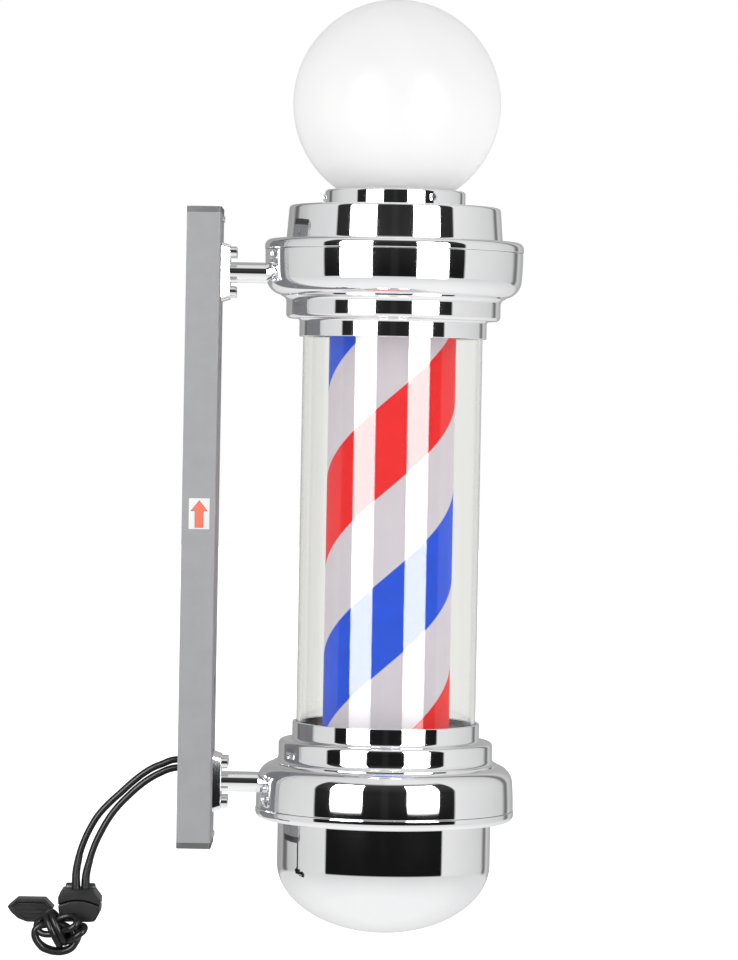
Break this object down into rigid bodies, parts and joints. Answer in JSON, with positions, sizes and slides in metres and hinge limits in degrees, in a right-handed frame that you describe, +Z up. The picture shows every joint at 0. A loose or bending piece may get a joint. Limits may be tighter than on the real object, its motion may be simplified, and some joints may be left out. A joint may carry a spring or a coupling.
{
  "type": "barber pole light",
  "caption": "Wall-hung barber pole light with a turning striped drum in a clear tube, chromed end rings, an opal globe on top, a bowl below and a mains lead.",
  "frame": {"origin": "in the wall plane, at the middle of the wall bracket's height and width", "axes": "+X from the wall to the pole, +Z up the pole, +Y to the left when looking back at the wall"},
  "size_m": [0.379, 0.1954, 0.7208],
  "materials": {
    "bracket_grey": "satin grey paint",
    "dark_plastic": "matt black",
    "screw_steel": "zinc plated",
    "sticker": "white film with a plain red arrow",
    "zinc_steel": "zinc plated sheet",
    "chrome": "mirror chrome",
    "chrome_screws": "chromed screws",
    "clear_tube": "clear acrylic",
    "seal_rubber": "matt",
    "opal_globe": "glossy opal white",
    "white_rubber": "matt",
    "white_plastic": "satin",
    "bulb_metal": "plain",
    "bulb_glass": "frosted white",
    "nylon": "natural nylon",
    "lamp_tube": "frosted",
    "motor_metal": "plated can",
    "bush_brass": "turned",
    "coil": "enamelled wire",
    "cord": "satin black sheath",
    "black_plastic": "moulded black",
    "pin_brass": "polished",
    "drum_film": "white film with one red and one blue helical stripe",
    "rotor_dark": "bonded magnet",
    "rocker_grey": "satin"
  },
  "bodies": {
    "frame": {"bracket": "bracket_grey", "end_caps": "dark_plastic", "end_cap_screws": "screw_steel", "arrow_sticker": "sticker", "wall_clips": "zinc_steel", "clip_bolts": "screw_steel", "toothed_washers": "zinc_steel", "flanges": "chrome", "flange_screws": "chrome_screws", "arms": "chrome", "arm_nuts": "zinc_steel", "upper_ring": "chrome", "lower_ring": "chrome", "outer_tube": "clear_tube", "tube_seals": "seal_rubber", "lid_screws": "chrome_screws", "top_cap": "chrome", "gallery": "chrome", "globe": "opal_globe", "globe_seal": "white_rubber", "globe_set_screws": "chrome_screws", "lampholder": "white_plastic", "bulb_base": "bulb_metal", "bulb_glass": "bulb_glass", "top_plate": "zinc_steel", "plate_screws": "screw_steel", "lamp_column": "screw_steel", "drum_bush": "nylon", "led_cap": "bulb_metal", "led_tube": "lamp_tube", "led_driver": "white_plastic", "bowl": "chrome", "motor_plate": "zinc_steel", "motor_can": "motor_metal", "motor_cover": "motor_metal", "motor_screws": "screw_steel", "motor_bush": "bush_brass", "rotor_pin": "screw_steel", "stator_coil": "coil", "terminal_block": "white_plastic", "cord_clamp": "black_plastic", "light_lead": "cord", "motor_lead": "cord", "switch_top": "black_plastic", "switch_bottom": "black_plastic", "switch_screws": "screw_steel", "mains_lead": "cord", "mains_hank": "cord", "mains_tail": "cord", "plug_body": "black_plastic", "plug_pins": "pin_brass"},
    "drum": {"striped_drum": "drum_film", "drum_top_disc": "white_plastic", "drum_bottom_disc": "white_plastic", "drive_shaft": "screw_steel", "drive_gear": "nylon"},
    "rotor": {"motor_rotor": "rotor_dark"},
    "light_switch": {"light_rocker": "rocker_grey"},
    "motor_switch": {"motor_rocker": "rocker_grey"}
  },
  "joints": [
    {"name": "drum_spin", "type": "hinge", "parent": "frame", "child": "drum", "pos_m": [0.1545, 0, 0], "axis": [0, 0, 1], "continuous": true},
    {"name": "rotor_spin", "type": "hinge", "parent": "frame", "child": "rotor", "pos_m": [0.1725, 0, -0.177], "axis": [0, 0, 1], "continuous": true},
    {"name": "light_rocker_tilt", "type": "hinge", "parent": "frame", "child": "light_switch", "pos_m": [-0.081, 0.007, -0.2775], "axis": [1, 0, 0], "range_deg": [-8, 8]},
    {"name": "motor_rocker_tilt", "type": "hinge", "parent": "frame", "child": "motor_switch", "pos_m": [-0.065, 0.007, -0.2775], "axis": [1, 0, 0], "range_deg": [-8, 8]}
  ],
  "couplings": [
    {"joint": "rotor_spin", "follows": "drum_spin", "ratio": -3}
  ]
}
